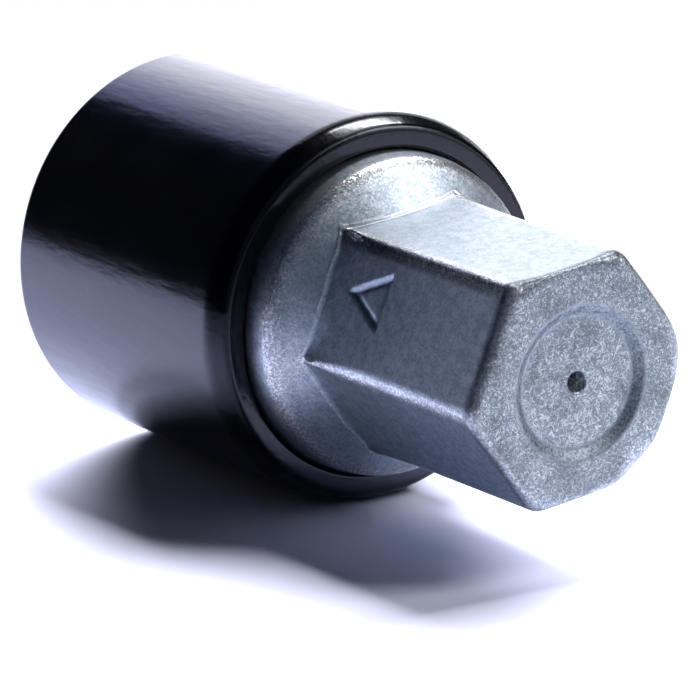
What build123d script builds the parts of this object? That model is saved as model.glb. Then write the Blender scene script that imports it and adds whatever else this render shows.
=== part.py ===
from build123d import *
import math
import os

# Key for a locking wheel nut: a forged hexagon key that turns inside a black guard sleeve.
# It stands on the sleeve's open rim, with the axis along Z and the hexagon's end on top.
# Lengths are in millimetres and angles in degrees.

# Hexagon drive
hex_across_flats = 17.0
hex_reach = 24.0              # from the sleeve's front face to the hexagon's end
hex_corner_round = 1.6
end_edge_round = 0.7

# Barrel, and the round shoulder between it and the hexagon
barrel_diameter = 24.0
barrel_end_chamfer = 0.6
shoulder_land = 0.6           # straight part of the barrel that shows above the sleeve
shoulder_round = 3.0
shoulder_slope = 55.0         # slope of the shoulder's cone, measured from the axis
shoulder_blend = 1.4

# Round dish and centre dimple in the hexagon's end
dish_diameter = 11.2
dish_depth = 0.5
dish_wall_slope = 40.0
dimple_diameter = 1.6
dimple_angle = 60.0

# Engraved triangle that marks one face of the hexagon
mark_height = 4.4
mark_width = 4.2
mark_line = 0.55
mark_depth = 0.3
mark_drop = 15.4              # from the hexagon's end to the middle of the mark
mark_offset = -0.9            # sideways from the middle of the face
mark_face_angle = 30.0

# Coded socket in the hidden end
socket_diameter = 13.0
socket_depth = 10.0
socket_point_angle = 118.0
socket_mouth_chamfer = 0.5
flute_diameter = 3.2
flute_angles = (0, 52, 113, 162, 228, 291)

# Guard sleeve
sleeve_length = 27.0
sleeve_wall = 2.4
front_chamfer_length = 1.5
front_chamfer_depth = 0.75
front_edge_round = 0.35
front_bore_chamfer = 0.25
guide_depth = 8.0             # the open rear end, which goes over the head of the nut
guide_step = 0.4              # how much wider the guide is than the bore above it
rear_bore_chamfer = 0.6
rear_edge_round = 0.4
running_clearance = 0.1       # all round between the barrel and the bore
end_clearance = 0.1           # between the barrel's end and the level of the guide's step

# Wire ring that holds the sleeve on the key
wire_diameter = 1.2
ring_drop = 9.0               # from the sleeve's front face to the middle of the wire
ring_gap_angle = 20.0
ring_clearance = 0.1

# Levels and radii that follow from the sizes above
hex_end = sleeve_length + hex_reach
hex_flat = hex_across_flats / 2
hex_corner = hex_flat / math.cos(math.radians(30))
barrel_radius = barrel_diameter / 2
barrel_end = guide_depth + end_clearance
bore_radius = barrel_radius + running_clearance
guide_radius = bore_radius + guide_step
sleeve_radius = bore_radius + sleeve_wall
ring_level = sleeve_length - ring_drop
ring_radius = barrel_radius + running_clearance / 2
ring_low = ring_level - wire_diameter / 2 - ring_clearance
ring_high = ring_level + wire_diameter / 2 + ring_clearance

# The shoulder leaves the barrel just above the sleeve on an arc, then runs in as a cone.
slope = math.radians(shoulder_slope)
barrel_top = sleeve_length + shoulder_land
arc_centre = barrel_radius - shoulder_round
cone_foot_radius = arc_centre + shoulder_round * math.cos(slope)
cone_foot = barrel_top + shoulder_round * math.sin(slope)
cone_top_radius = hex_flat - shoulder_blend
cone_top = cone_foot + (cone_foot_radius - cone_top_radius) / math.tan(slope)


def turned(outline):
    return revolve(Plane.XZ * make_face(outline), Axis.Z)


def ring_cut(inner, outer):
    ring = Cylinder(outer, ring_high - ring_low) - Cylinder(inner, ring_high - ring_low)
    return Pos(0, 0, ring_level) * ring


def shoulder_and_barrel():
    arc_middle = (arc_centre + shoulder_round * math.cos(slope / 2),
                  barrel_top + shoulder_round * math.sin(slope / 2))
    arc = ThreePointArc((barrel_radius, barrel_top), arc_middle, (cone_foot_radius, cone_foot))
    rest = Polyline(
        (cone_foot_radius, cone_foot),
        (cone_top_radius, cone_top),
        (0, cone_top),
        (0, barrel_end),
        (barrel_radius - barrel_end_chamfer, barrel_end),
        (barrel_radius, barrel_end + barrel_end_chamfer),
        (barrel_radius, barrel_top),
    )
    return turned([arc, rest])


def hexagon():
    outline = RegularPolygon(hex_corner, 6)
    outline = fillet(outline.vertices(), hex_corner_round)
    return Pos(0, 0, sleeve_length) * extrude(outline, hex_reach)


def on_seam(edge):
    # The seam is where the hexagon's sides meet the cone of the shoulder.
    return cone_foot < edge.position_at(0.5).Z < cone_top


def end_dish():
    rim = dish_diameter / 2
    floor = hex_end - dish_depth
    floor_radius = rim - dish_depth / math.tan(math.radians(dish_wall_slope))
    dimple_radius = dimple_diameter / 2
    dimple_depth = dimple_radius / math.tan(math.radians(dimple_angle / 2))
    outline = Polyline(
        (0, floor - dimple_depth),
        (dimple_radius, floor),
        (floor_radius, floor),
        (rim, hex_end),
        (rim, hex_end + dish_depth),
        (0, hex_end + dish_depth),
        close=True,
    )
    return turned(outline)


def index_mark():
    turn = math.radians(mark_face_angle)
    outward = Vector(math.cos(turn), math.sin(turn), 0)
    sideways = Vector(-math.sin(turn), math.cos(turn), 0)
    middle = outward * hex_flat + sideways * mark_offset + Vector(0, 0, hex_end - mark_drop)
    outer = Polygon(
        (-mark_width / 2, mark_height / 2),
        (mark_width / 2, mark_height / 2),
        (0, -mark_height / 2),
        align=None,
    )
    inner = offset(outer, -mark_line)
    return Plane(middle, x_dir=sideways, z_dir=outward) * extrude(outer - inner, mark_depth, both=True)


def coded_socket():
    core = socket_diameter / 2
    top = barrel_end + socket_depth
    point = core / math.tan(math.radians(socket_point_angle / 2))
    outline = Polyline(
        (0, barrel_end),
        (core + socket_mouth_chamfer, barrel_end),
        (core, barrel_end + socket_mouth_chamfer),
        (core, top),
        (0, top + point),
        close=True,
    )
    socket = turned(outline)
    flute = Pos(core, 0, barrel_end + socket_depth / 2) * Cylinder(flute_diameter / 2, socket_depth)
    for angle in flute_angles:
        socket += Rot(0, 0, angle) * flute
    return socket


def make_key_body():
    body = shoulder_and_barrel() + hexagon()
    body = fillet(body.edges().filter_by(on_seam), shoulder_blend)
    body = fillet(body.faces().sort_by(Axis.Z)[-1].edges(), end_edge_round)
    body -= end_dish()
    body -= index_mark()
    body -= coded_socket()
    # The groove is deep enough for the wire ring to close into it when the sleeve goes on.
    body -= ring_cut(barrel_radius - wire_diameter - ring_clearance, sleeve_radius)
    return body


def make_guard_sleeve():
    face_radius = sleeve_radius - front_chamfer_depth
    outline = make_face(Polyline(
        (face_radius, sleeve_length),
        (sleeve_radius, sleeve_length - front_chamfer_length),
        (sleeve_radius, 0),
        (guide_radius + rear_bore_chamfer, 0),
        (guide_radius, rear_bore_chamfer),
        (guide_radius, guide_depth),
        (bore_radius, guide_depth),
        (bore_radius, sleeve_length - front_bore_chamfer),
        (bore_radius + front_bore_chamfer, sleeve_length),
        close=True,
    ))
    front_edge = outline.vertices().sort_by_distance((face_radius, sleeve_length, 0))[0]
    outline = fillet(front_edge, front_edge_round)
    rear_edge = outline.vertices().sort_by_distance((sleeve_radius, 0, 0))[0]
    outline = fillet(rear_edge, rear_edge_round)
    sleeve = revolve(Plane.XZ * outline, Axis.Z)
    sleeve -= ring_cut(bore_radius - guide_step, ring_radius + wire_diameter / 2 + ring_clearance)
    return sleeve


def make_retaining_ring():
    wire = Plane.XZ * Pos(ring_radius, ring_level) * Circle(wire_diameter / 2)
    return revolve(wire, Axis.Z, 360 - ring_gap_angle)


os.makedirs("parts", exist_ok=True)
export_step(make_key_body(), "parts/key_body.step")
export_step(make_guard_sleeve(), "parts/guard_sleeve.step")
export_step(make_retaining_ring(), "parts/retaining_ring.step")
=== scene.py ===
import math

import bpy
import numpy as np
from mathutils import Matrix, Vector


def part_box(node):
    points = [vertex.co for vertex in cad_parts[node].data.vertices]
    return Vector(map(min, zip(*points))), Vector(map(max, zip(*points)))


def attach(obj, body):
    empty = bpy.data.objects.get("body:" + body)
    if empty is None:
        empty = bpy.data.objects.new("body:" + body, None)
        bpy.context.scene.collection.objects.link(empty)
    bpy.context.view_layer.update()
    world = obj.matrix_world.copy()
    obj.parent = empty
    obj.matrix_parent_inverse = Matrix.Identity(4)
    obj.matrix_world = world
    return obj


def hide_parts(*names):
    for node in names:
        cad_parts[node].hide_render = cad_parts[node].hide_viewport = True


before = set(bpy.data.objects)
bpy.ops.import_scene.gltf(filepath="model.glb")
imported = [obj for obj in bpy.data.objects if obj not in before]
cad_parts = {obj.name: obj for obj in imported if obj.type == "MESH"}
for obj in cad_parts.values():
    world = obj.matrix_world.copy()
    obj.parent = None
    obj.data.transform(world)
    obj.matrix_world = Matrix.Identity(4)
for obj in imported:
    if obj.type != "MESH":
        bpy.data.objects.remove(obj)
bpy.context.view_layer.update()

# Key for a locking wheel nut: a zinc plated forged hexagon that turns in a black guard sleeve.
# Shapes are worked out in millimetres and written to the meshes in metres.
mmPerMetre = 1000.0
print("frame loaded, nodes:", sorted(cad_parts))


# Arrays and meshes

def metres(lengths):
    return tuple(length / mmPerMetre for length in lengths)


def nodeBox(node):
    low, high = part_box(node)
    return np.array(low) * mmPerMetre, np.array(high) * mmPerMetre


def smoothStep(value, low, high):
    # 0 up to low, 1 from high on, and an S-curve between them.
    share = np.clip((value - low) / (high - low), 0.0, 1.0)
    return share * share * (3.0 - 2.0 * share)


def bell(value, middle, width):
    # 1 at the middle, and nearly 0 from two widths away.
    return np.exp(-((value - middle) / width) ** 2)


def smoothMax(a, b, blend):
    # The larger of two heights, with a fillet of about that size where they cross.
    near = np.maximum(blend - np.abs(a - b), 0.0) / blend
    return np.maximum(a, b) + near * near * blend / 4.0


def shares(rows):
    # Even shares of a run, one for each of its rows, with 1 at its end.
    return np.linspace(0.0, 1.0, rows + 1)[1:, None]


def easedPath(corners, steps, closed=False):
    # Straight runs between corners (radius, level, ease). A corner is a parabola that starts and ends
    # its ease away from the corner, with a point on each run beside it to keep the run flat.
    runOn = 0.6          # how far past the parabola that point lies, as a share of the ease
    corners = np.array(corners, float)
    places = corners[:, :2]
    share = np.linspace(0.0, 1.0, steps + 1)[:, None]
    path = []
    count = len(corners)
    for i in range(count):
        if not closed and i in (0, count - 1):
            path.append(places[i:i + 1])
            continue
        toLast = places[i - 1] - places[i]
        toNext = places[(i + 1) % count] - places[i]
        toLast /= np.linalg.norm(toLast)
        toNext /= np.linalg.norm(toNext)
        ease = corners[i, 2]
        start, end = places[i] + toLast * ease, places[i] + toNext * ease
        arc = start * (1 - share) ** 2 + places[i] * 2 * share * (1 - share) + end * share ** 2
        path += [(start + toLast * ease * runOn)[None], arc, (end + toNext * ease * runOn)[None]]
    return np.vstack(path)


def gridObject(name, points, marks=None, topPole=None, endPole=None, closed=False):
    # Each row of the grid is a closed loop of points. A quad joins two neighbours of a row with the
    # same two of the next row, a pole closes an end with a fan, and a closed grid joins its last row
    # to its first. Rows run outwards, then down, so that the faces point out.
    rows, columns = points.shape[:2]
    index = np.arange(rows * columns).reshape(rows, columns)
    ring = np.vstack([index, index[:1]]) if closed else index
    after = np.roll(ring, -1, axis=1)
    faces = np.stack([ring[:-1], ring[1:], after[1:], after[:-1]], axis=-1).reshape(-1, 4).tolist()
    places = [points.reshape(-1, 3)]
    if topPole is not None:
        apex = np.full(columns, rows * columns)
        places.append(np.array([topPole], float))
        faces += np.stack([apex, ring[0], after[0]], axis=-1).tolist()
    if endPole is not None:
        apex = np.full(columns, rows * columns + len(places) - 1)
        places.append(np.array([endPole], float))
        faces += np.stack([ring[-1], apex, after[-1]], axis=-1).tolist()
    mesh = bpy.data.meshes.new(name)
    mesh.from_pydata((np.vstack(places) / mmPerMetre).tolist(), [], faces)
    mesh.shade_smooth()
    for mark, values in (marks or {}).items():
        ends = np.zeros(len(places) - 1)
        layer = mesh.attributes.new(mark, "FLOAT", "POINT")
        layer.data.foreach_set("value", np.concatenate([values.ravel(), ends]).astype(np.float32))
    mesh.validate()
    piece = bpy.data.objects.new(name, mesh)
    bpy.context.scene.collection.objects.link(piece)
    print("made", name, "with", len(mesh.vertices), "points and", len(mesh.polygons), "faces")
    return piece


def turnedGrid(radii, levels, angles):
    # Radius and level of each row, carried round the axis.
    return np.stack([radii * np.cos(angles), radii * np.sin(angles), levels + 0.0 * angles], axis=-1)


# Nodes of the materials

def opaque(colour):
    # A colour with its fourth part, as sockets take it.
    return (*colour, 1.0)


def addNode(tree, kind, inputs=None, **settings):
    # An input that is given a socket is linked to it, and any other is set to the value.
    node = tree.nodes.new(kind)
    for name, value in settings.items():
        setattr(node, name, value)
    for name, value in (inputs or {}).items():
        if isinstance(value, bpy.types.NodeSocket):
            tree.links.new(value, node.inputs[name])
        else:
            node.inputs[name].default_value = value
    return node


def mathNode(tree, operation, first, second=0.0, third=0.0):
    return addNode(tree, "ShaderNodeMath", {0: first, 1: second, 2: third}, operation=operation).outputs[0]


def vectorNode(tree, operation, first, second=(0.0, 0.0, 0.0), output="Vector"):
    node = addNode(tree, "ShaderNodeVectorMath", {0: first, 1: second}, operation=operation)
    return node.outputs[output]


def dotNode(tree, place, way):
    # How far a place lies along a direction.
    return vectorNode(tree, "DOT_PRODUCT", place, tuple(way), "Value")


def rangeNode(tree, value, given, made=(0.0, 1.0)):
    # Carries a value from one range over to another, and stops at its ends.
    inputs = {0: value, 1: given[0], 2: given[1], 3: made[0], 4: made[1]}
    return addNode(tree, "ShaderNodeMapRange", inputs).outputs[0]


def noiseNode(tree, place, scale, detail, roughness, distortion=0.0):
    return addNode(tree, "ShaderNodeTexNoise", {
        "Vector": place, "Scale": scale, "Detail": detail, "Roughness": roughness,
        "Distortion": distortion}).outputs[0]


def bumpNode(tree, height, distance, strength, normal=None):
    inputs = {"Height": height, "Distance": distance, "Strength": strength}
    if normal is not None:
        inputs["Normal"] = normal
    return addNode(tree, "ShaderNodeBump", inputs).outputs[0]


def mixColour(tree, factor, first, second):
    # From the first colour to the second by the factor, each a socket or a value.
    node = addNode(tree, "ShaderNodeMix", data_type="RGBA")
    for name, value in (("Factor_Float", factor), ("A_Color", first), ("B_Color", second)):
        socket = next(s for s in node.inputs if s.identifier == name)
        if isinstance(value, bpy.types.NodeSocket):
            tree.links.new(value, socket)
        else:
            socket.default_value = value if name == "Factor_Float" else opaque(value)
    return next(s for s in node.outputs if s.identifier == "Result_Color")


def newMaterial(name):
    material = bpy.data.materials.new(name)
    material.use_nodes = True
    material.node_tree.nodes.clear()
    return material, material.node_tree


def closeMaterial(tree, shader):
    addNode(tree, "ShaderNodeOutputMaterial", {"Surface": shader})


# Effects that several materials share

def newGroup(name, inputs, outputs):
    # A node group with named inputs, which start from their values, and named outputs.
    tree = bpy.data.node_groups.new(name, "ShaderNodeTree")
    for label, value in inputs.items():
        socket = tree.interface.new_socket(name=label, in_out="INPUT", socket_type="NodeSocketFloat")
        socket.default_value = value
    for label in outputs:
        tree.interface.new_socket(name=label, in_out="OUTPUT", socket_type="NodeSocketFloat")
    return tree, tree.nodes.new("NodeGroupInput"), tree.nodes.new("NodeGroupOutput")


def makeDrawnLines():
    # Short fine lines: noise packed close round the axis and drawn out along it, or the other way.
    tree, given, made = newGroup("drawnLines", {"Around": 300.0, "Along": 2500.0}, ["Lines"])
    place = addNode(tree, "ShaderNodeTexCoord").outputs["Object"]
    around, along = given.outputs["Around"], given.outputs["Along"]
    scale = addNode(tree, "ShaderNodeCombineXYZ", {0: around, 1: around, 2: along}).outputs[0]
    drawn = vectorNode(tree, "MULTIPLY", place, scale)
    noise = noiseNode(tree, drawn, scale=1.0, detail=2.0, roughness=0.5)
    tree.links.new(noise, made.inputs["Lines"])
    return tree


def makePatina():
    # Cloudy patches with finer ones inside them, from 0 to 1.
    tree, given, made = newGroup("patina", {"Scale": 300.0, "Contrast": 2.0}, ["Cloud"])
    place = addNode(tree, "ShaderNodeTexCoord").outputs["Object"]
    noise = noiseNode(tree, place, given.outputs["Scale"], detail=4.0, roughness=0.6)
    centred = mathNode(tree, "SUBTRACT", noise, 0.5)
    cloud = mathNode(tree, "MULTIPLY_ADD", centred, given.outputs["Contrast"], 0.5)
    clamped = addNode(tree, "ShaderNodeClamp", {0: cloud}).outputs[0]
    tree.links.new(clamped, made.inputs["Cloud"])
    return tree


drawnLines = makeDrawnLines()
patina = makePatina()


def useGroup(tree, group, **values):
    node = tree.nodes.new("ShaderNodeGroup")
    node.node_tree = group
    for name, value in values.items():
        node.inputs[name].default_value = value
    return node.outputs[0]


# Zinc plate

zinc = {
    "faceDark": (0.335, 0.405, 0.475), "faceLight": (0.55, 0.615, 0.68),     # smooth pressed faces
    "grainDark": (0.086, 0.115, 0.14), "grainLight": (0.535, 0.57, 0.595),   # crystals, fibres on them
    # wear and painted highlight turn the plating to the first colour; stains, painted shade and other
    # darkening to the second
    "wornAndHighlightColour": (0.93, 0.93, 0.94), "stainAndShadeColour": (0.06, 0.065, 0.075),
    "faceRoughness": 0.50, "grainRoughness": 0.38, "wornSmoothing": -0.10,
    "grainRange": (0.1, 0.7),                       # grain marks over which a face turns to crystals
    "flakeScale": 9000.0, "flakeTilt": 0.32,        # crystals of about 0.11 mm
    "fibreTurns": (25.0, 85.0, 145.0),              # directions of the bright fibres
    "fibreSize": (0.00011, 0.00034, 0.0002), "fibreBend": 0.6, "fibreRange": (0.57, 0.68),
    "crystalShare": 0.3, "cloudShare": 0.25, "fibreShare": 0.85,     # what brightens the grain
    "speckScale": 5200.0, "grainHeight": 0.000012, "grainStrength": 0.6,
    "lineAround": 220.0, "lineAlong": 3600.0, "lineHeight": 0.000004, "lineStrength": 0.7,
    "cloudScale": 1400.0, "cloudContrast": 1.8,     # mottling of the faces, with specks in it
    "mottleSpecks": 2.4, "mottleRange": (0.2, 0.8),
    "stainScale": 330.0, "stainContrast": 2.2,      # dull stains of a few millimetres on the grain
    "stainRange": (0.35, 0.85), "stain": 0.45,
    "chipRange": (0.50, 0.60), "chipLevel": 0.8, "wornLeast": 0.25,  # specks in which wear and painted highlight show most
    "darkeningRange": (0.42, 0.58), "darkeningLevels": (0.5, 1.3),             # specks in which painted shade and other darkening show most
}


def makeFibres(tree, place):
    # Short bright fibres: noise drawn out in a few directions, of which only the highest parts show.
    fibres = 0.0
    for turn in zinc["fibreTurns"]:
        drawn = addNode(tree, "ShaderNodeMapping", {
            "Vector": place, "Rotation": (0.0, 0.0, math.radians(turn)), "Scale": zinc["fibreSize"]},
            vector_type="TEXTURE").outputs[0]
        noise = noiseNode(tree, drawn, scale=1.0, detail=2.0, roughness=0.5, distortion=zinc["fibreBend"])
        fibres = mathNode(tree, "MAXIMUM", rangeNode(tree, noise, zinc["fibreRange"]), fibres)
    return fibres


def zincNormal(tree, cells, specks, grain):
    # Each crystal leans its own way, as far as the grain mark says. Specks and faint lines lie on top.
    lean = vectorNode(tree, "SUBTRACT", cells, (0.5, 0.5, 0.5))
    amount = mathNode(tree, "MULTIPLY", grain, zinc["flakeTilt"])
    tilt = addNode(tree, "ShaderNodeVectorMath", {0: lean, "Scale": amount}, operation="SCALE").outputs[0]
    normal = addNode(tree, "ShaderNodeNewGeometry").outputs["Normal"]
    leaning = vectorNode(tree, "NORMALIZE", vectorNode(tree, "ADD", normal, tilt))
    grainy = bumpNode(tree, specks, zinc["grainHeight"], zinc["grainStrength"], leaning)
    lines = useGroup(tree, drawnLines, Around=zinc["lineAround"], Along=zinc["lineAlong"])
    return bumpNode(tree, lines, zinc["lineHeight"], zinc["lineStrength"], grainy)


def zincColour(tree, cells, specks, fibres, onGrain):
    # Mottled faces turn to dark crystals with bright fibres, which have dull stains.
    cloud = useGroup(tree, patina, Scale=zinc["cloudScale"], Contrast=zinc["cloudContrast"])
    centred = mathNode(tree, "SUBTRACT", specks, 0.5)
    mottled = mathNode(tree, "MULTIPLY_ADD", centred, zinc["mottleSpecks"], cloud)
    mottled = rangeNode(tree, mottled, zinc["mottleRange"])
    face = mixColour(tree, mottled, zinc["faceDark"], zinc["faceLight"])
    crystal = addNode(tree, "ShaderNodeSeparateColor", {0: cells}).outputs[0]
    clouded = mathNode(tree, "MULTIPLY", cloud, zinc["cloudShare"])
    patchy = mathNode(tree, "MULTIPLY_ADD", crystal, zinc["crystalShare"], clouded)
    flecks = mathNode(tree, "MULTIPLY_ADD", fibres, zinc["fibreShare"], patchy)
    flecks = addNode(tree, "ShaderNodeClamp", {0: flecks}).outputs[0]
    grained = mixColour(tree, flecks, zinc["grainDark"], zinc["grainLight"])
    colour = mixColour(tree, onGrain, face, grained)
    blotch = useGroup(tree, patina, Scale=zinc["stainScale"], Contrast=zinc["stainContrast"])
    blotch = rangeNode(tree, blotch, zinc["stainRange"], (0.0, zinc["stain"]))
    stain = mathNode(tree, "MULTIPLY", onGrain, blotch)
    return mixColour(tree, stain, colour, zinc["stainAndShadeColour"])


def makeZincPlate():
    # Plating that turns from smooth to crystals by the piece's grain mark. The wear-and-highlight mark
    # brightens edges in specks, and paints a highlight on the top face and near one corner. The
    # shade-and-darkening mark paints shade in specks on edges, cuts, the dish wall, the top face and the
    # mouth of the sleeve, and darkens a band beside one corner and the barrel inside the sleeve.
    material, tree = newMaterial("zincPlate")
    place = addNode(tree, "ShaderNodeTexCoord").outputs["Object"]
    grain, wearAndHighlight, shadeAndDarkening = (addNode(tree, "ShaderNodeAttribute", attribute_name=mark).outputs["Fac"]
                          for mark in ("grain", "wearAndHighlight", "shadeAndDarkening"))
    flakes = addNode(tree, "ShaderNodeTexVoronoi", {"Vector": place, "Scale": zinc["flakeScale"]})
    cells = flakes.outputs["Color"]
    specks = noiseNode(tree, place, zinc["speckScale"], detail=4.0, roughness=0.7)
    fibres = makeFibres(tree, place)
    onGrain = rangeNode(tree, grain, zinc["grainRange"])
    colour = zincColour(tree, cells, specks, fibres, onGrain)
    chips = rangeNode(tree, specks, zinc["chipRange"], (0.0, zinc["chipLevel"]))
    chips = mathNode(tree, "MAXIMUM", fibres, chips)
    worn = mathNode(tree, "MULTIPLY", wearAndHighlight, rangeNode(tree, chips, (0.0, 1.0), (zinc["wornLeast"], 1.0)))
    colour = mixColour(tree, worn, colour, zinc["wornAndHighlightColour"])
    darkening = mathNode(tree, "MULTIPLY", shadeAndDarkening, rangeNode(tree, specks, zinc["darkeningRange"], zinc["darkeningLevels"]))
    colour = mixColour(tree, darkening, colour, zinc["stainAndShadeColour"])
    rough = rangeNode(tree, onGrain, (0.0, 1.0), (zinc["faceRoughness"], zinc["grainRoughness"]))
    rough = mathNode(tree, "MULTIPLY_ADD", worn, zinc["wornSmoothing"], rough)
    shader = addNode(tree, "ShaderNodeBsdfPrincipled", {
        "Base Color": colour, "Roughness": rough, "Metallic": 1.0,
        "Normal": zincNormal(tree, cells, specks, grain)})
    closeMaterial(tree, shader.outputs[0])
    return material


# Black coat

blackCoat = {
    "colour": (0.0006, 0.0006, 0.0012), "dustColour": (0.0014, 0.0014, 0.0022),
    "dustScale": 250.0, "dustContrast": 1.8,
    "roughness": (0.13, 0.19),          # clean and dusty
    "refraction": 1.52, "mirrorTint": (0.66, 0.66, 0.77),
    "lineAround": 1150.0, "lineAlong": 330.0, "lineHeight": 0.000024,
}


def makeBlackCoat():
    # Semi-gloss black over drawn steel tube, whose lines along the axis show through the coat.
    material, tree = newMaterial("blackCoat")
    lines = useGroup(tree, drawnLines, Around=blackCoat["lineAround"], Along=blackCoat["lineAlong"])
    dust = useGroup(tree, patina, Scale=blackCoat["dustScale"], Contrast=blackCoat["dustContrast"])
    shader = addNode(tree, "ShaderNodeBsdfPrincipled", {
        "Base Color": mixColour(tree, dust, blackCoat["colour"], blackCoat["dustColour"]),
        "Roughness": rangeNode(tree, dust, (0.0, 1.0), blackCoat["roughness"]),
        "IOR": blackCoat["refraction"], "Specular Tint": opaque(blackCoat["mirrorTint"]),
        "Normal": bumpNode(tree, lines, blackCoat["lineHeight"], strength=1.0)})
    closeMaterial(tree, shader.outputs[0])
    return material


# Spring wire

springWire = {
    "darkColour": (0.30, 0.30, 0.32), "brightColour": (0.55, 0.55, 0.56),
    "oilScale": 600.0, "oilContrast": 2.0,
    "roughness": (0.24, 0.42), "roughRange": (0.3, 0.7),
    "lineAround": 250.0, "lineAlong": 9000.0, "lineHeight": 0.00001, "lineStrength": 0.5,
}


def makeSpringWire():
    # Drawn wire: bright lines along it and a little oil staining.
    material, tree = newMaterial("springWire")
    lines = useGroup(tree, drawnLines, Around=springWire["lineAround"], Along=springWire["lineAlong"])
    oil = useGroup(tree, patina, Scale=springWire["oilScale"], Contrast=springWire["oilContrast"])
    shade = mathNode(tree, "MULTIPLY", lines, oil)
    shader = addNode(tree, "ShaderNodeBsdfPrincipled", {
        "Base Color": mixColour(tree, shade, springWire["darkColour"], springWire["brightColour"]),
        "Roughness": rangeNode(tree, lines, springWire["roughRange"], springWire["roughness"]),
        "Metallic": 1.0,
        "Normal": bumpNode(tree, lines, springWire["lineHeight"], springWire["lineStrength"])})
    closeMaterial(tree, shader.outputs[0])
    return material


def dress(piece, material, body=None, replaced=None):
    # A new piece also gets its material and its body, and the node that it replaces is hidden.
    piece.data.materials.clear()
    piece.data.materials.append(material)
    if body:
        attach(piece, body)
    if replaced:
        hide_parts(replaced)


# Key body. Corners count from +X round, faces from the marked one between the first two corners.

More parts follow.
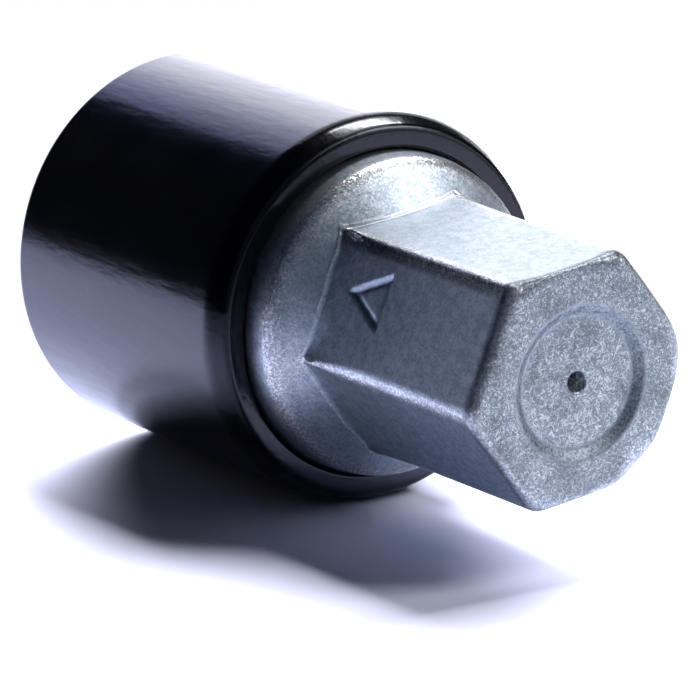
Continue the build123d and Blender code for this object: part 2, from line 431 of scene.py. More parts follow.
key = {
    "columns": 400, "cornerCrowding": 0.45,
    "hexFlat": 8.5,
    "cornerRound": (0.8, 1.7, 1.6, 2.2, 1.9, 1.6),      # along each corner
    "rootRound": 0.4, "rootLevels": (31.0, 38.0),       # share of that at the shoulder, and its growth
    # rounded edge of the end
    "faceEndRound": (0.8, 0.6, 0.7, 0.7, 0.7, 0.18),    # along each face
    "cornerEndRound": (1.0, 0.9, 0.9, 2.6, 1.8, 0.9),   # at each corner
    "cornerEndWidth": 11.0,                             # degrees over which the first turns to the second
    "edgeWear": (0.8, 0.6, 0.2, 0.1, 0.1, 0.75),        # bright specks along each face
    "edgeShade": (0.08, 0.0, 0.0, 0.0, 0.0, 0.7),       # painted shade along each face's edge
    "edgeSmoothing": 0.5, "edgeRows": 10,
    # flat of the end, with painted shade near the darkened edge
    "flatRows": 12, "flatShade": 0.6, "flatShadeFrom": 0.7,
    # dish and dimple in the end, with painted shade on the dish's wall
    "dishRim": 5.6, "dishFloor": 4.85, "dishDepth": 0.5, "dishEase": 0.17, "dishLand": 0.7,
    "dimpleRadius": 0.8, "dimpleDepth": 1.38, "dimpleEase": 0.12,
    "dimpleTip": (0.12, 0.1),                           # radius and rise of the first row
    "dishSteps": 6, "dishGrain": 0.8, "dishWallShade": 0.68, "wallWidth": 0.55,
    # shoulder
    "land": 0.6, "ridgeRadius": 11.8, "ridgeLevel": 29.15, "ridgeBlend": 0.6, "shoulderSlope": 52.5,
    "ridgeWidth": 0.42, "ridgeGrain": 0.4,
    "domeEase": 0.5, "domeGrain": 0.2, "domeWear": 0.14,
    "mouthShade": 0.4, "mouthDrop": 0.5,                # painted shade at the sleeve's mouth, up to near the ridge
    "flakedAngle": 62.0, "flakedWidth": 11.0, "flakedAndHighlight": 0.55,       # flaked plating near one corner, brightened as a painted highlight
    "flakedFrom": (28.9, 29.3), "flakedTo": (30.4, 31.2),
    # sides of the hexagon
    "endBand": 5.0, "endRows": 12,                      # rows that follow the rounded edge above them
    "bandLevels": (38.0, 33.2, 32.1, 30.5), "bandRows": (16, 44, 10, 40, 29),
    "sideGrain": 0.12, "cornerWidth": 3.6, "cornerGrain": 0.6, "cornerWear": 0.75,
    "faceWearAndTopHighlight": (0.0, 0.0, 0.0, 0.1, 0.1, 0.22),        # how much each face is rubbed bright; on the top face it is a painted highlight
    "faceShade": (0.0, 0.0, 0.0, 0.0, 0.0, 0.15),       # painted shade over each face, which dims the top face
    "rampLength": (1.5, 1.2, 1.0, 1.0, 1.0, 0.8),       # shallow ramp at the foot of each face
    "rampSlope": (0.16, 0.16, 0.16, 0.16, 0.16, 0.08),
    "rampEase": 0.12, "rampCorner": 10.0, "rampHeights": (0.02, 0.12),
    "creaseHeight": 0.07, "creaseWidth": 0.06, "creaseAbove": 0.2, "creaseEase": 0.16,  # line above it
    "creaseWaves": ((0.06, 5, 0.6), (0.036, 11, 2.1), (0.024, 23, 0.0)),    # height, count and phase
    "tipLevel": (32.0, 31.5, 31.5, 31.5, 31.5, 31.5),   # small lip where each corner starts
    "tipLength": (0.95, 0.55, 0.55, 0.55, 0.55, 0.55),
    "tipHeight": (0.36, 0.14, 0.1, 0.1, 0.1, 0.12),
    "tipWidth": 1.4, "tipWear": 0.8,
    "darkBesideCorner": 0.24, "darkBesideCornerFrom": (0.2, 0.9), "darkBesideCornerTo": (4.2, 6.4),    # a darker, grainier band beside +X
    "darkBesideCornerGrain": 0.3,
    # painted shade under the crease, on part of the top face's foot
    "footShade": 0.4, "footShadeFace": 5, "footShadeBelow": 0.3, "footShadeWidth": 0.26,
    "footShadeTurn": (306.0, 350.0),
    # triangle cut into one face, with painted shade in the cut
    "markFace": 0, "markLevel": 35.6, "markOffset": -0.9,
    "markWidth": 4.2, "markHeight": 4.4, "markLine": 0.55, "markDepth": 0.25,
    "markEase": (-0.05, 0.09), "markShade": 0.3,
    # barrel
    "grooveLow": 17.3, "grooveHigh": 18.7, "grooveFloor": 10.7, "grooveEase": 0.15,
    "rearChamfer": 0.6, "smallEase": 0.08, "barrelSteps": 2,
    # the barrel turns darker towards the sleeve's mouth
    "barrelGrain": 0.15, "barrelDarkening": 0.6, "barrelDarkeningLevels": (20.0, 26.0),
    # coded socket
    "socketCore": 6.5, "socketDepth": 10.0, "socketPoint": 3.9, "socketGrain": 0.1,
    "fluteRadius": 1.6, "fluteAngles": (0, 52, 113, 162, 228, 291),
    "mouthBand": 1.0, "mouthEase": (0.1, 0.04), "mouthChamfer": 0.5,
    "wallInset": (1.0, 0.3), "wallEnd": 0.98, "pointShares": (0.0, 0.04, 0.9),
}
sleeveHigh = nodeBox("guard_sleeve")[1]
keyLow, keyHigh = nodeBox("key_body")
sleeveTop, keyRear, keyTop, barrelRadius = sleeveHigh[2], keyLow[2], keyHigh[2], keyHigh[0]
landTop = sleeveTop + key["land"]
sixthTurn, halfSixth = math.pi / 3, math.pi / 6

# Columns round the axis crowd at the corners. Each belongs to its nearest corner and to a face.
evenTurn = np.linspace(0.0, 2 * math.pi, key["columns"], endpoint=False)
keyAngles = evenTurn - key["cornerCrowding"] * np.sin(6 * evenTurn) / 6
cornerIndex = np.round(keyAngles / sixthTurn).astype(int) % 6
fromCorner = (keyAngles - cornerIndex * sixthTurn + math.pi) % (2 * math.pi) - math.pi
cornerDegrees = np.degrees(fromCorner)
faceIndex = np.floor(keyAngles / sixthTurn).astype(int) % 6


def byCorner(name):
    # The value of each column's nearest corner.
    return np.array(key[name])[cornerIndex]


def byFace(name):
    # The value of the face that each column is on.
    return np.array(key[name])[faceIndex]


def circleFromAxis(angle, centre, radius):
    # How far out a circle reaches along a ray from the axis, or 0 where the ray misses it.
    inside = radius ** 2 - (centre * np.sin(angle)) ** 2
    reach = centre * np.cos(angle) + np.sqrt(np.maximum(inside, 0.0))
    return np.where((inside > 0) & (np.cos(angle) > 0), reach, 0.0)


def hexagonRadius(share=1.0):
    # A face is flat / cos of the angle from its middle; a corner is an arc that touches both faces.
    rounding = byCorner("cornerRound") * share
    centre = key["hexFlat"] / math.cos(halfSixth) - rounding / math.sin(sixthTurn)
    touch = np.arctan2(rounding / 2, centre + rounding * math.cos(halfSixth))
    face = key["hexFlat"] / np.cos(halfSixth - np.abs(fromCorner))
    return np.where(np.abs(fromCorner) < touch, circleFromAxis(fromCorner, centre, rounding), face)


def shoulderRadius(levels):
    # A barrel that tapers a little to a worn ridge, then a cone: the smaller of the two, eased.
    taper = (barrelRadius - key["ridgeRadius"]) / (key["ridgeLevel"] - landTop)
    barrel = barrelRadius - taper * (levels - landTop)
    slope = math.tan(math.radians(key["shoulderSlope"]))
    cone = key["ridgeRadius"] - slope * (levels - key["ridgeLevel"])
    return -smoothMax(-barrel, -cone, key["ridgeBlend"])


def footRamp(side, levels):
    # A ramp that leans out below a line just above the cone's foot, and fades out at the corners.
    slope = math.tan(math.radians(key["shoulderSlope"]))
    meeting = key["ridgeLevel"] + (key["ridgeRadius"] - side) / slope
    share = 1 - bell(cornerDegrees, 0.0, key["rampCorner"])
    rampTop = meeting + byFace("rampLength") * share
    rise = byFace("rampSlope") * (rampTop - levels)
    return smoothMax(np.zeros_like(levels), rise, key["rampEase"]) * share


def triangleInset(across, up):
    # How far a point lies inside a triangle that points down: the least distance to its three sides.
    half, tall = key["markWidth"] / 2, key["markHeight"] / 2
    side = math.hypot(2 * tall, half)
    right = ((across - half) * -2 * tall + (up - tall) * half) / side
    left = ((-across - half) * -2 * tall + (up - tall) * half) / side
    return np.minimum(tall - up, np.minimum(left, right))


def markCut(radii, levels, fromFace):
    # 1 along the triangle's lines, which lie between its sides and the same sides one line further in.
    across = radii * np.sin(fromFace) - key["markOffset"]
    inset = triangleInset(across, levels - key["markLevel"])
    lines = smoothStep(inset, *key["markEase"]) * smoothStep(key["markLine"] - inset, *key["markEase"])
    return np.where(faceIndex == key["markFace"], lines, 0.0)


def rowsOf(radii, levels, grain, wearAndHighlight=0.0, shadeAndDarkening=0.0):
    # Rows of the key as five arrays of one shape: radius, level and the plating's three marks.
    shape = np.broadcast_shapes(np.shape(radii), np.shape(levels), (1, key["columns"]))
    arrays = (radii, levels, grain, wearAndHighlight, shadeAndDarkening)
    return [np.broadcast_to(np.asarray(array, float), shape) for array in arrays]


def dishRows():
    # Dimple, floor and wall of the dish: a profile carried round the axis.
    floor = keyTop - key["dishDepth"]
    tipRadius, tipRise = key["dimpleTip"]
    profile = easedPath([
        (tipRadius, floor - key["dimpleDepth"] + tipRise, 0),
        (key["dimpleRadius"], floor, key["dimpleEase"]),
        (key["dishFloor"], floor, key["dishEase"]),
        (key["dishRim"], keyTop, key["dishEase"]),
        (key["dishRim"] + key["dishLand"], keyTop, 0)], key["dishSteps"])
    radii, levels = profile[:, :1], profile[:, 1:]
    wallMiddle = (key["dishRim"] + key["dishFloor"]) / 2
    wall = np.exp(-((radii - wallMiddle) / key["wallWidth"]) ** 4)
    # painted shade on the dish's wall
    return rowsOf(radii, levels, key["dishGrain"] * (1 - wall), 0.0, key["dishWallShade"] * wall)


def endRounding():
    # Along an edge of the end the rounding is the face's, and near a corner it turns to the corner's.
    rounding = byFace("faceEndRound")
    atCorner = bell(cornerDegrees, 0.0, key["cornerEndWidth"])
    return rounding + (byCorner("cornerEndRound") - rounding) * atCorner


def flatRows():
    # Flat of the end: even shares of the way from the dish to where the rounded edge starts.
    share = shares(key["flatRows"])
    inner, outer = key["dishRim"] + key["dishLand"], hexagonRadius() - endRounding()
    # painted shade on the flat, near the darkened edge
    darkening = key["flatShade"] * byFace("edgeShade") * smoothStep(share, key["flatShadeFrom"], 1.0)
    return rowsOf(inner * (1 - share) + outer * share, keyTop, 1.0, 0.0, darkening)


def edgeRows():
    # Rounded edge of the end: a quarter circle of each column's own rounding.
    turn = shares(key["edgeRows"]) * math.pi / 2
    # painted shade on the rounded edge, which also takes away its wear
    rounding, darkening = endRounding(), byFace("edgeShade")
    radii = hexagonRadius() - rounding * (1 - np.sin(turn))
    levels = keyTop - rounding * (1 - np.cos(turn))
    wearAndHighlight = np.maximum(byFace("edgeWear") - darkening, 0.0) * np.sin(turn * 2)
    return rowsOf(radii, levels, 1.0 - key["edgeSmoothing"] * np.sin(turn), wearAndHighlight, darkening * np.sin(turn))


def sideLevels():
    # The first rows turn from the rounded edge to level ones, which lie closer at the mark and the foot.
    share = shares(key["endRows"])
    bandTop = keyTop - key["endBand"]
    upper = (keyTop - endRounding()) * (1 - share) + bandTop * share
    stops = [bandTop, *key["bandLevels"], landTop]
    bands = [np.linspace(start, stop, rows + 1)[1:]
             for start, stop, rows in zip(stops, stops[1:], key["bandRows"])]
    lower = np.concatenate(bands)[:, None]
    return np.vstack([upper, np.broadcast_to(lower, (len(lower), key["columns"]))])


def sideRows():
    # Sides and shoulder: the larger of hexagon and shoulder, eased, with a ramp at each face's foot, a
    # raised crease above it, a lip where each corner starts, and the triangle cut into one face.
    levels = sideLevels()
    shoulder = shoulderRadius(levels)
    rooted = key["rootRound"] + (1 - key["rootRound"]) * smoothStep(levels, *key["rootLevels"])
    side = hexagonRadius(rooted)
    ramp = footRamp(side, levels)
    foot = side + ramp
    aboveFoot = shoulder - foot
    wander = sum(height * np.sin(count * keyAngles + phase) for height, count, phase in key["creaseWaves"])
    crease = bell(aboveFoot, key["creaseAbove"] + wander, key["creaseWidth"])
    tip = bell(levels, byCorner("tipLevel"), byCorner("tipLength"))
    tip = tip * bell(cornerDegrees, 0.0, key["tipWidth"])
    radii = smoothMax(foot, shoulder, key["creaseEase"])
    radii = radii + key["creaseHeight"] * crease + byCorner("tipHeight") * tip
    fromFace = keyAngles - (key["markFace"] * sixthTurn + halfSixth)
    cut = markCut(radii, levels, fromFace)
    radii = radii - key["markDepth"] * cut / np.maximum(np.cos(fromFace), math.cos(sixthTurn))

    # plating: corners, ridge, crease and lips are worn, the top face and a patch near one corner get a
    # painted highlight, ramp and cut are smooth
    onDome = smoothStep(aboveFoot, 0.0, key["domeEase"])
    offDome = 1 - onDome
    edge = bell(cornerDegrees, 0.0, key["cornerWidth"]) * offDome
    worn = bell(levels, key["ridgeLevel"], key["ridgeWidth"])
    onRamp = smoothStep(ramp, *key["rampHeights"]) * offDome
    # a darker, grainier band beside the +X corner
    beside = np.where(cornerIndex == 0, smoothStep(cornerDegrees, *key["darkBesideCornerFrom"]), 0.0)
    beside = beside * (1 - smoothStep(cornerDegrees, *key["darkBesideCornerTo"])) * offDome
    flakedAndHighlight = key["flakedAndHighlight"] * bell(np.degrees(keyAngles), key["flakedAngle"], key["flakedWidth"])
    flakedAndHighlight = flakedAndHighlight * smoothStep(levels, *key["flakedFrom"]) * (1 - smoothStep(levels, *key["flakedTo"]))
    grain = key["sideGrain"] + key["cornerGrain"] * edge + key["domeGrain"] * onDome
    grain = grain + key["ridgeGrain"] * worn + key["darkBesideCornerGrain"] * beside
    grain = grain * (1 - onRamp) * (1 - cut)
    rubbed = byFace("faceWearAndTopHighlight") * offDome + key["domeWear"] * onDome
    wearAndHighlight = key["cornerWear"] * edge * (1 - beside) + crease + worn + key["tipWear"] * tip + rubbed + flakedAndHighlight
    # painted shade where the zinc meets the sleeve's mouth
    shadeAndDarkening = key["mouthShade"] * (1 - smoothStep(levels, landTop, key["ridgeLevel"] - key["mouthDrop"]))
    # painted shade under the crease on part of the top face
    atFoot = bell(aboveFoot, -key["footShadeBelow"], key["footShadeWidth"])
    atFoot = atFoot * smoothStep(np.degrees(keyAngles), *key["footShadeTurn"])
    atFoot = np.where(faceIndex == key["footShadeFace"], atFoot, 0.0)
    # painted shade dims the top face
    shadeAndDarkening = shadeAndDarkening + byFace("faceShade") * offDome + key["darkBesideCorner"] * beside
    # painted shade at part of the top face's foot and in the cut
    shadeAndDarkening = shadeAndDarkening + key["footShade"] * atFoot + key["markShade"] * cut
    return rowsOf(radii, levels, grain, np.clip(wearAndHighlight, 0.0, 1.0), shadeAndDarkening)


def barrelRows():
    # Barrel with the groove of the wire and the chamfer of its end: a profile carried round the axis.
    chamfer, ease = key["rearChamfer"], key["smallEase"]
    profile = easedPath([
        (barrelRadius, landTop, 0),
        (barrelRadius, key["grooveHigh"], ease), (key["grooveFloor"], key["grooveHigh"], key["grooveEase"]),
        (key["grooveFloor"], key["grooveLow"], key["grooveEase"]), (barrelRadius, key["grooveLow"], ease),
        (barrelRadius, keyRear + chamfer, ease), (barrelRadius - chamfer, keyRear, ease),
        (barrelRadius - 2 * chamfer, keyRear, 0)], key["barrelSteps"])[1:]
    radii, levels = profile[:, :1], profile[:, 1:]
    # darker towards the sleeve's mouth
    darkening = key["barrelDarkening"] * smoothStep(levels, *key["barrelDarkeningLevels"])
    return rowsOf(radii, levels, key["barrelGrain"], 0.0, darkening)


def socketRows():
    # Coded socket: the larger of a round core and a flute at each of its angles, then a drill point.
    flutes = [circleFromAxis(keyAngles - math.radians(angle), key["socketCore"], key["fluteRadius"])
              for angle in key["fluteAngles"]]
    core = np.full(key["columns"], key["socketCore"])
    mouth = np.max([core + key["mouthChamfer"], *flutes], axis=0)
    wall = np.max([core, *flutes], axis=0)
    deep = keyRear + key["socketDepth"]
    mouthOut, mouthIn = key["mouthEase"]
    wallFrom, wallTo = key["wallInset"]
    rows = [
        (mouth + key["mouthBand"], keyRear), (mouth + mouthOut, keyRear), (mouth, keyRear + mouthIn),
        (wall, keyRear + key["mouthChamfer"]), (wall, keyRear + wallFrom), (wall, deep - wallTo),
        (wall * key["wallEnd"], deep)]
    rows += [(core * (1 - share), deep + key["socketPoint"] * share) for share in key["pointShares"]]
    radii, levels = zip(*rows)
    return rowsOf(np.stack(radii), np.array(levels)[:, None], key["socketGrain"])


def makeKeyBody():
    # Rows run from the dimple over the end, down the sides and the barrel, and up into the socket.
    sections = [dishRows(), flatRows(), edgeRows(), sideRows(), barrelRows(), socketRows()]
    radii, levels, grain, wearAndHighlight, shadeAndDarkening = (np.vstack(arrays) for arrays in zip(*sections))
    marks = {"grain": grain, "wearAndHighlight": wearAndHighlight, "shadeAndDarkening": shadeAndDarkening}
    dimpleTip = (0, 0, keyTop - key["dishDepth"] - key["dimpleDepth"])
    socketTip = (0, 0, keyRear + key["socketDepth"] + key["socketPoint"])
    return gridObject("keyBody", turnedGrid(radii, levels, keyAngles), marks,
                      topPole=dimpleTip, endPole=socketTip)


# Guard sleeve

sleeve = {
    "columns": 288, "steps": 8,
    "bore": 12.1, "guide": 12.5, "guideDepth": 8.0,
    "frontChamferLength": 1.5, "frontChamferDepth": 0.75, "frontEase": 0.40, "chamferEase": 0.62,
    "boreChamfer": 0.25, "rearChamfer": 0.6, "rearEase": 0.35,
    "grooveFloor": 12.75, "smallEase": 0.08,
}


def makeGuardSleeve():
    # A closed section turned round the axis: front face, chamfer, outside, rear rim, guide, bore.
    outer, ease = sleeveHigh[0], sleeve["smallEase"]
    bore, guide, grooveFloor = sleeve["bore"], sleeve["guide"], sleeve["grooveFloor"]
    section = easedPath([
        (bore + sleeve["boreChamfer"], sleeveTop, ease),
        (outer - sleeve["frontChamferDepth"], sleeveTop, sleeve["frontEase"]),
        (outer, sleeveTop - sleeve["frontChamferLength"], sleeve["chamferEase"]),
        (outer, 0.0, sleeve["rearEase"]),
        (guide + sleeve["rearChamfer"], 0.0, ease), (guide, sleeve["rearChamfer"], ease),
        (guide, sleeve["guideDepth"], ease), (bore, sleeve["guideDepth"], ease),
        (bore, key["grooveLow"], ease), (grooveFloor, key["grooveLow"], ease),
        (grooveFloor, key["grooveHigh"], ease), (bore, key["grooveHigh"], ease),
        (bore, sleeveTop - sleeve["boreChamfer"], ease)], sleeve["steps"], closed=True)
    angles = np.linspace(0.0, 2 * math.pi, sleeve["columns"], endpoint=False)
    return gridObject("guardSleeve", turnedGrid(section[:, :1], section[:, 1:], angles), closed=True)


zincPlate = makeZincPlate()
keyBody = makeKeyBody()
dress(keyBody, zincPlate, "key", "key_body")
guardSleeve = makeGuardSleeve()
dress(guardSleeve, makeBlackCoat(), "sleeve", "guard_sleeve")
dress(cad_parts["retaining_ring"], makeSpringWire())
print("pieces dressed")


# Stage: the key lies on its side under the camera, so the floor is a plane along the axis.
# Places there are (side, up, along): up leaves that floor, along is the key's own axis.

stage = {
    "upAngle": -37.73,                      # direction of the floor's up, round the axis from +X
    "middle": (0.0, 0.0, 25.0),             # what lamps and cloths face, on the axis
    "floorReach": 900.0, "floorGap": 0.02,
    "ambient": (0.011, 0.0108, 0.0145),
}
upTurn = math.radians(stage["upAngle"])
upWay = np.array([math.cos(upTurn), math.sin(upTurn), 0.0])
alongWay = np.array([0.0, 0.0, 1.0])
sideWay = np.cross(alongWay, upWay)
mirroredOnly = {"camera": False, "diffuse": False, "shadow": False, "transmission": False}


def onStage(side, up, along):
    # A place on the stage as a point of the frame: so much of each of the three directions.
    return side * sideWay + up * upWay + along * alongWay


def facing(place, aim=stage["middle"]):
    # Directions of something that faces a point: its width, its length near the axis, and its back.
    back = onStage(*place) - onStage(*aim)
    back /= np.linalg.norm(back)
    long = alongWay - back * (back @ alongWay)
    long /= np.linalg.norm(long)
    return np.cross(long, back), long, back


def placeOnStage(name, places, faces, material, **seenBy):
    # A mesh of the stage, with the kinds of rays that don't see it set to False.
    mesh = bpy.data.meshes.new(name)
    mesh.from_pydata((np.array(places) / mmPerMetre).tolist(), [], faces)
    mesh.materials.append(material)
    sheet = bpy.data.objects.new(name, mesh)
    bpy.context.scene.collection.objects.link(sheet)
    for ray, seen in seenBy.items():
        setattr(sheet, "visible_" + ray, seen)


def stageSheet(name, corner, first, second, material, **seenBy):
    # A flat sheet: corner plus shares of two edges.
    places = [corner, corner + first, corner + first + second, corner + second]
    placeOnStage(name, places, [(0, 1, 2, 3)], material, **seenBy)


# Floors

paleFloor = {
    "colour": (0.47, 0.465, 0.53), "seenGain": 4.2,
    "whiteRange": (55.0, 130.0),            # distance over which the camera sees it turn plain white
    "mirroredRear": (1.42, 1.48, 1.86), "mirroredFront": (1.29, 1.30, 1.39),
    "frontRange": (40.0, 72.0),             # along less side, over which the first turns to the second
    "fallRange": (40.0, 95.0), "fallLean": 0.7, "fallLevel": 0.42,      # painted falloff of light: dimmer along side + lean * along
    "mirroredFar": (0.05, 0.05, 0.07), "farRange": (100.0, 380.0),
}
rimFloor = {"colour": (0.04, 0.04, 0.04), "glow": 1.0}


def clearBelow(tree, shader):
    # A floor's own shader from above, and nothing from below.
    below = addNode(tree, "ShaderNodeNewGeometry").outputs["Backfacing"]
    clear = addNode(tree, "ShaderNodeBsdfTransparent").outputs[0]
    return addNode(tree, "ShaderNodeMixShader", {0: below, 1: shader, 2: clear}).outputs[0]


def mirroredFloor(tree, position, away):
    # What the metal mirrors, with its light painted in: a rear and a front colour, both dimmer on one side,
    # and nearly black far off.
    front = rangeNode(tree, dotNode(tree, position, alongWay - sideWay), metres(paleFloor["frontRange"]))
    fallWay = sideWay + paleFloor["fallLean"] * alongWay
    fall = rangeNode(tree, dotNode(tree, position, fallWay), metres(paleFloor["fallRange"]))
    ends = []
    for end in ("mirroredRear", "mirroredFront"):
        dimmed = [part * paleFloor["fallLevel"] for part in paleFloor[end]]
        ends.append(mixColour(tree, fall, paleFloor[end], dimmed))
    fade = rangeNode(tree, away, metres(paleFloor["farRange"]))
    return mixColour(tree, fade, mixColour(tree, front, *ends), paleFloor["mirroredFar"])


def makePaleFloorMaterial():
    # White that keeps the shadow near the key and turns to plain white further off.
    # The camera and the metal see it brighter than it is to the light that goes round the stage.
    material, tree = newMaterial("paleFloor")
    position = addNode(tree, "ShaderNodeNewGeometry").outputs["Position"]
    away = vectorNode(tree, "DISTANCE", position, metres(stage["middle"]), "Value")
    rays = addNode(tree, "ShaderNodeLightPath").outputs
    camera = rays["Is Camera Ray"]
    firstBounce = mathNode(tree, "LESS_THAN", rays["Diffuse Depth"], 0.5)
    glossy = mathNode(tree, "MULTIPLY", rays["Is Glossy Ray"], firstBounce)
    colour = mixColour(tree, glossy, paleFloor["colour"], mirroredFloor(tree, position, away))
    seen = [part * paleFloor["seenGain"] for part in paleFloor["colour"]]
    colour = mixColour(tree, camera, colour, seen)
    diffuse = addNode(tree, "ShaderNodeBsdfDiffuse", {"Color": colour}).outputs[0]
    glow = addNode(tree, "ShaderNodeEmission", {"Strength": 1.0}).outputs[0]
    white = mathNode(tree, "MULTIPLY", rangeNode(tree, away, metres(paleFloor["whiteRange"])), camera)
    lit = addNode(tree, "ShaderNodeMixShader", {0: white, 1: diffuse, 2: glow}).outputs[0]
    closeMaterial(tree, clearBelow(tree, lit))
    return material


def makeRimFloorMaterial():
    # Nearly white by itself, with a little shade where the sleeve's rim stands on it.
    material, tree = newMaterial("rimFloor")
    diffuse = addNode(tree, "ShaderNodeBsdfDiffuse", {"Color": opaque(rimFloor["colour"])}).outputs[0]
    glow = addNode(tree, "ShaderNodeEmission", {"Strength": rimFloor["glow"]}).outputs[0]
    lit = addNode(tree, "ShaderNodeAddShader", {0: diffuse, 1: glow}).outputs[0]
    closeMaterial(tree, clearBelow(tree, lit))
    return material


def makeFloors():
    # One floor under the key as it lies, and one under the sleeve's rim for other views.
    reach, gap = stage["floorReach"], stage["floorGap"]
    corner = onStage(-reach, -sleeveHigh[0] - gap, -reach)
    stageSheet("paleFloor", corner, 2 * reach * sideWay, 2 * reach * alongWay,
               makePaleFloorMaterial(), shadow=False)
    corner = np.array([-reach, -reach, -gap])
    first, second = np.array([2 * reach, 0, 0]), np.array([0, 2 * reach, 0])
    stageSheet("rimFloor", corner, first, second, makeRimFloorMaterial(),
               glossy=False, diffuse=False, shadow=False)


# Cards and cloths round the key, which only the metal and the coat mirror

tubeCards = {                   # turn from the side towards up and over, reach along the axis, glow
    "darkCard": {"turn": (-1.0, 97.0), "reach": (-1600.0, 220.0), "glow": (0.003, 0.005, 0.016)},
    "sideCard": {"turn": (97.0, 176.0), "reach": (-500.0, 330.0), "glow": (0.03, 0.035, 0.05)},
    "frontCard": {"turn": (-1.0, 97.0), "reach": (220.0, 1600.0), "glow": (0.06, 0.08, 0.12)},
}
tube = {"radius": 750.0, "steps": 23}
endCard = {"corner": (-330.0, 10.0, 650.0), "size": (1130.0, 380.0), "glow": (0.06, 0.08, 0.12)}
glows = {                       # lit cloths over the key
    "frontGlow": {"place": (-330.0, 372.0, 345.0), "size": (380.0, 320.0), "glow": (2.6, 2.6, 2.7)},
    "overGlow": {"place": (-205.0, 425.0, -30.0), "size": (205.0, 290.0), "glow": (2.3, 2.3, 2.4)},
    "rimGlow": {"place": (-214.0, 405.0, -103.0), "size": (240.0, 48.0), "glow": (30.0, 30.0, 30.4)},
}
rearPanel = {                   # lit cloth behind the key
    "depth": -480.0, "side": (-440.0, -6.0), "up": (-10.0, 400.0),
    "level": 3.3, "edgeLevel": 0.90, "brightFrom": 0.5,     # share of the width at which it is full
    "foot": (60.0, 220.0), "footGain": 1.45,
    "tint": (0.94, 0.95, 1.10), "edgeTint": (0.66, 0.75, 1.34),
}


def makeCardMaterial(name, glow):
    # Plain light of one colour.
    material, tree = newMaterial(name)
    closeMaterial(tree, addNode(tree, "ShaderNodeEmission", {"Color": opaque(glow)}).outputs[0])
    return material


def makePanelMaterial():
    # Brightest on the far side and at its foot.
    material, tree = newMaterial("rearPanel")
    place = addNode(tree, "ShaderNodeTexCoord").outputs["Object"]
    far, near = rearPanel["side"]
    bright = near + (far - near) * rearPanel["brightFrom"]
    inward = rangeNode(tree, dotNode(tree, place, sideWay), metres((near, bright)))
    level = rangeNode(tree, inward, (0.0, 1.0), (rearPanel["edgeLevel"], rearPanel["level"]))
    footRange = metres(rearPanel["foot"])
    gain = rangeNode(tree, dotNode(tree, place, upWay), footRange, (rearPanel["footGain"], 1.0))
    tint = mixColour(tree, inward, rearPanel["edgeTint"], rearPanel["tint"])
    strength = mathNode(tree, "MULTIPLY", level, gain)
    glow = addNode(tree, "ShaderNodeEmission", {"Color": tint, "Strength": strength}).outputs[0]
    closeMaterial(tree, glow)
    return material


def makeTubeCard(name, card):
    # Part of a wide tube along the axis: a row of places at each of its two ends, joined by quads.
    turns = np.radians(np.linspace(*card["turn"], tube["steps"] + 1))
    turn, along = np.meshgrid(turns, np.array(card["reach"]), indexing="ij")
    outward = np.cos(turn)[..., None] * sideWay + np.sin(turn)[..., None] * upWay
    places = (tube["radius"] * outward + along[..., None] * alongWay).reshape(-1, 3)
    first = np.arange(tube["steps"]) * 2
    faces = np.stack([first, first + 1, first + 3, first + 2], axis=-1).tolist()
    placeOnStage(name, places, faces, makeCardMaterial(name, card["glow"]), **mirroredOnly)


def makeCards():
    # Tube cards, a flat card past the key's end, the cloths over the key and the panel behind it.
    for name, card in tubeCards.items():
        makeTubeCard(name, card)
    wide, tall = endCard["size"]
    stageSheet("endCard", onStage(*endCard["corner"]), wide * sideWay, tall * upWay,
               makeCardMaterial("endCard", endCard["glow"]), **mirroredOnly)
    for name, cloth in glows.items():
        widthWay, lengthWay = facing(cloth["place"])[:2]
        first, second = cloth["size"][0] * widthWay, cloth["size"][1] * lengthWay
        corner = onStage(*cloth["place"]) - first / 2 - second / 2
        stageSheet(name, corner, first, second, makeCardMaterial(name, cloth["glow"]), **mirroredOnly)
    far, near = rearPanel["side"]
    low, high = rearPanel["up"]
    stageSheet("rearPanel", onStage(far, low, rearPanel["depth"]), (near - far) * sideWay,
               (high - low) * upWay, makePanelMaterial(), **mirroredOnly)


# Lamps and world

lamps = {                       # level is the lamp's own brightness
    "softBox": {
        "place": (-205.0, 430.0, -38.0), "size": (205.0, 220.0), "level": 11.9,
        "tint": (0.88, 0.90, 1.0), "aim": stage["middle"], "mirrored": False},
    "frontBox": {
        "place": (-290.0, 330.0, 300.0), "size": (200.0, 200.0), "level": 3.96,
        "tint": (0.90, 0.92, 1.0), "aim": stage["middle"], "mirrored": True},
    "floorBox": {
        "place": (-285.0, 200.0, -540.0), "size": (260.0, 590.0), "level": 30.3,
        "tint": (0.84, 0.87, 1.0), "aim": (-285.0, -14.5, -540.0), "mirrored": False},
}


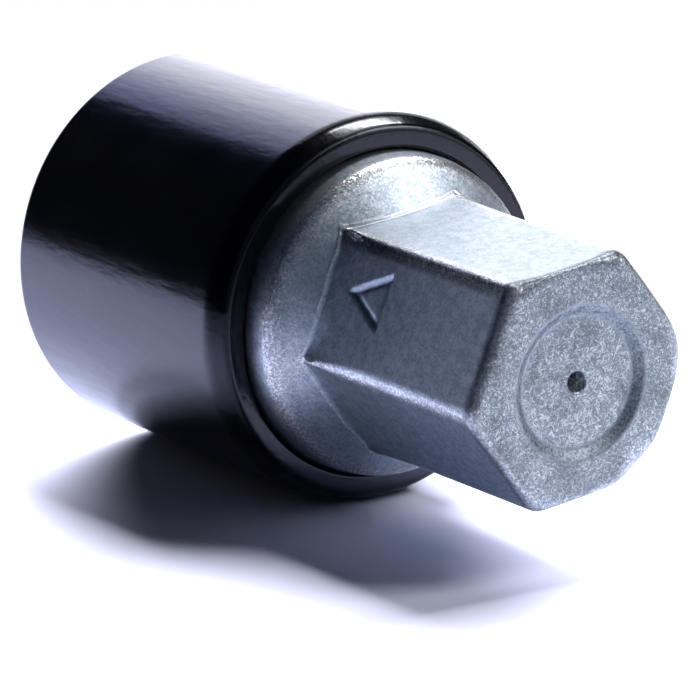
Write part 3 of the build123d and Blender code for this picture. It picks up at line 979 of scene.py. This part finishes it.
def makeLamp(name, lamp):
    # A lamp's brightness is its energy divided by four times its area.
    light = bpy.data.lights.new(name, "AREA")
    light.shape = "RECTANGLE"
    light.size, light.size_y = metres(lamp["size"])
    light.energy = 4.0 * light.size * light.size_y * lamp["level"]
    light.color = lamp["tint"]
    holder = bpy.data.objects.new(name, light)
    turn = Matrix(np.array(facing(lamp["place"], lamp["aim"])).T.tolist()).to_4x4()
    holder.matrix_world = Matrix.Translation(Vector(onStage(*lamp["place"])) / mmPerMetre) @ turn
    holder.visible_camera = False
    holder.visible_glossy = lamp["mirrored"]
    bpy.context.scene.collection.objects.link(holder)


def makeWorld():
    # Faint light all round, and plain white for camera, glossy and transmission rays.
    world = bpy.data.worlds.new("studio")
    world.use_nodes = True
    tree = world.node_tree
    tree.nodes.clear()
    rays = addNode(tree, "ShaderNodeLightPath").outputs
    seen = mathNode(tree, "MAXIMUM", rays["Is Camera Ray"], rays["Is Glossy Ray"])
    seen = mathNode(tree, "MAXIMUM", seen, rays["Is Transmission Ray"])
    ambient, white = (
        addNode(tree, "ShaderNodeBackground", {"Color": opaque(colour), "Strength": 1.0}).outputs[0]
        for colour in (stage["ambient"], (1.0, 1.0, 1.0)))
    both = addNode(tree, "ShaderNodeMixShader", {0: seen, 1: ambient, 2: white}).outputs[0]
    addNode(tree, "ShaderNodeOutputWorld", {"Surface": both})
    bpy.context.scene.world = world


makeFloors()
makeCards()
for lampName, lampValues in lamps.items():
    makeLamp(lampName, lampValues)
makeWorld()
print("stage and lamps set")


# Camera

photoCamera = {
    "place": (246.403, 129.362, 388.480), "target": (9.76, 8.86, 41.43),
    "lens": 322.36, "sensor": 36.0,
    "clipFrom": 0.01, "clipTo": 10.0,       # metres
}


def makeCamera():
    # Looks from its place to its target, with the floor's up as its own.
    data = bpy.data.cameras.new("photoCamera")
    data.sensor_width, data.lens = photoCamera["sensor"], photoCamera["lens"]
    data.clip_start, data.clip_end = photoCamera["clipFrom"], photoCamera["clipTo"]
    holder = bpy.data.objects.new("photoCamera", data)
    place, target = Vector(photoCamera["place"]), Vector(photoCamera["target"])
    back = (place - target).normalized()
    right = Vector(upWay).cross(back).normalized()
    turn = Matrix((right, back.cross(right), back)).transposed().to_4x4()
    holder.matrix_world = Matrix.Translation(place / mmPerMetre) @ turn
    bpy.context.scene.collection.objects.link(holder)
    bpy.context.scene.camera = holder


makeCamera()
bpy.context.scene.view_settings.view_transform = "Standard"
print("camera set")
